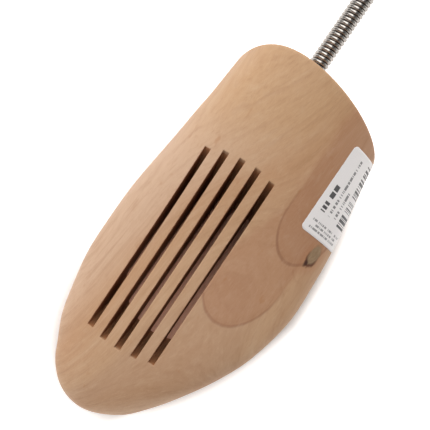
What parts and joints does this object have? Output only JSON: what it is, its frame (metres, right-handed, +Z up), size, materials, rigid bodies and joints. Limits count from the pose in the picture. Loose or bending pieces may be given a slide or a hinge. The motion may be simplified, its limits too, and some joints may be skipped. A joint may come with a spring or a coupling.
{
  "type": "shoe tree",
  "caption": "Wooden shoe tree for a left shoe: a vented forepart block joined by a close-wound coil spring to a turned heel knob.",
  "frame": {"origin": "on the surface that the tree rests on, under the middle of its bounding box", "axes": "+X toward the toe along the spring, +Y toward the outer (little toe) side, +Z up from the sole"},
  "size_m": [0.3376, 0.0891, 0.0565],
  "materials": {
    "birch_wood": "sanded birch with reddish heartwood, unvarnished, slight sheen",
    "dowel_wood": "pale hardwood dowel, raw",
    "nickel_wire": "nickel-plated spring wire, bright",
    "nail_steel": "plain wire nail",
    "label_paper": "white self-adhesive paper, satin"
  },
  "bodies": {
    "forepart": {"forepart_block": "birch_wood", "label": "label_paper", "front_dowel": "dowel_wood", "front_nail": "nail_steel", "coil_spring_root": "nickel_wire"},
    "coil_01": {"coil_spring_01": "nickel_wire"},
    "coil_02": {"coil_spring_02": "nickel_wire"},
    "coil_03": {"coil_spring_03": "nickel_wire"},
    "coil_04": {"coil_spring_04": "nickel_wire"},
    "coil_05": {"coil_spring_05": "nickel_wire"},
    "coil_06": {"coil_spring_06": "nickel_wire"},
    "coil_07": {"coil_spring_07": "nickel_wire"},
    "coil_08": {"coil_spring_08": "nickel_wire"},
    "coil_09": {"coil_spring_09": "nickel_wire"},
    "coil_10": {"coil_spring_10": "nickel_wire"},
    "coil_11": {"coil_spring_11": "nickel_wire"},
    "coil_12": {"coil_spring_12": "nickel_wire"},
    "coil_13": {"coil_spring_13": "nickel_wire"},
    "coil_14": {"coil_spring_14": "nickel_wire"},
    "coil_15": {"coil_spring_15": "nickel_wire"},
    "heel": {"coil_spring_tip": "nickel_wire", "rear_dowel": "dowel_wood", "rear_nail": "nail_steel", "heel_knob": "birch_wood"}
  },
  "joints": [
    {"name": "arch_bend_1", "type": "hinge", "parent": "forepart", "child": "coil_01", "pos_m": [0.0033, -0.0073, 0.024], "axis": [0, 1, 0], "range_deg": [0, 19], "stiffness_Nm_per_rad": 12.8},
    {"name": "side_bend_1", "type": "hinge", "parent": "coil_01", "child": "coil_02", "pos_m": [-0.00495, -0.0073, 0.024], "axis": [0, 0, 1], "range_deg": [-12, 12], "stiffness_Nm_per_rad": 6.4},
    {"name": "arch_bend_2", "type": "hinge", "parent": "coil_02", "child": "coil_03", "pos_m": [-0.0132, -0.0073, 0.024], "axis": [0, 1, 0], "range_deg": [0, 19]},
    {"name": "lift_bend_1", "type": "hinge", "parent": "coil_03", "child": "coil_04", "pos_m": [-0.02145, -0.0073, 0.024], "axis": [0, 1, 0], "range_deg": [0, 15], "stiffness_Nm_per_rad": 6.4},
    {"name": "arch_bend_3", "type": "hinge", "parent": "coil_04", "child": "coil_05", "pos_m": [-0.0297, -0.0073, 0.024], "axis": [0, 1, 0], "range_deg": [-19, 0]},
    {"name": "side_bend_2", "type": "hinge", "parent": "coil_05", "child": "coil_06", "pos_m": [-0.03795, -0.0073, 0.024], "axis": [0, 0, 1], "range_deg": [-12, 12]},
    {"name": "arch_bend_4", "type": "hinge", "parent": "coil_06", "child": "coil_07", "pos_m": [-0.0462, -0.0073, 0.024], "axis": [0, 1, 0], "range_deg": [-19, 0]},
    {"name": "lift_bend_2", "type": "hinge", "parent": "coil_07", "child": "coil_08", "pos_m": [-0.05445, -0.0073, 0.024], "axis": [0, 1, 0], "range_deg": [0, 15]},
    {"name": "lift_bend_3", "type": "hinge", "parent": "coil_08", "child": "coil_09", "pos_m": [-0.0627, -0.0073, 0.024], "axis": [0, 1, 0], "range_deg": [0, 15]},
    {"name": "arch_bend_5", "type": "hinge", "parent": "coil_09", "child": "coil_10", "pos_m": [-0.07095, -0.0073, 0.024], "axis": [0, 1, 0], "range_deg": [-19, 0]},
    {"name": "side_bend_3", "type": "hinge", "parent": "coil_10", "child": "coil_11", "pos_m": [-0.0792, -0.0073, 0.024], "axis": [0, 0, 1], "range_deg": [-12, 12]},
    {"name": "arch_bend_6", "type": "hinge", "parent": "coil_11", "child": "coil_12", "pos_m": [-0.08745, -0.0073, 0.024], "axis": [0, 1, 0], "range_deg": [-19, 0]},
    {"name": "lift_bend_4", "type": "hinge", "parent": "coil_12", "child": "coil_13", "pos_m": [-0.0957, -0.0073, 0.024], "axis": [0, 1, 0], "range_deg": [0, 15]},
    {"name": "arch_bend_7", "type": "hinge", "parent": "coil_13", "child": "coil_14", "pos_m": [-0.10395, -0.0073, 0.024], "axis": [0, 1, 0], "range_deg": [0, 19]},
    {"name": "side_bend_4", "type": "hinge", "parent": "coil_14", "child": "coil_15", "pos_m": [-0.1122, -0.0073, 0.024], "axis": [0, 0, 1], "range_deg": [-12, 12]},
    {"name": "arch_bend_8", "type": "hinge", "parent": "coil_15", "child": "heel", "pos_m": [-0.12045, -0.0073, 0.024], "axis": [0, 1, 0], "range_deg": [0, 19]}
  ],
  "couplings": [
    {"joint": "arch_bend_2", "follows": "arch_bend_1", "ratio": 1},
    {"joint": "arch_bend_3", "follows": "arch_bend_1", "ratio": -1},
    {"joint": "side_bend_2", "follows": "side_bend_1", "ratio": 1},
    {"joint": "arch_bend_4", "follows": "arch_bend_1", "ratio": -1},
    {"joint": "lift_bend_2", "follows": "lift_bend_1", "ratio": 1},
    {"joint": "lift_bend_3", "follows": "lift_bend_1", "ratio": 1},
    {"joint": "arch_bend_5", "follows": "arch_bend_1", "ratio": -1},
    {"joint": "side_bend_3", "follows": "side_bend_1", "ratio": 1},
    {"joint": "arch_bend_6", "follows": "arch_bend_1", "ratio": -1},
    {"joint": "lift_bend_4", "follows": "lift_bend_1", "ratio": 1},
    {"joint": "arch_bend_7", "follows": "arch_bend_1", "ratio": 1},
    {"joint": "side_bend_4", "follows": "side_bend_1", "ratio": 1},
    {"joint": "arch_bend_8", "follows": "arch_bend_1", "ratio": 1}
  ]
}
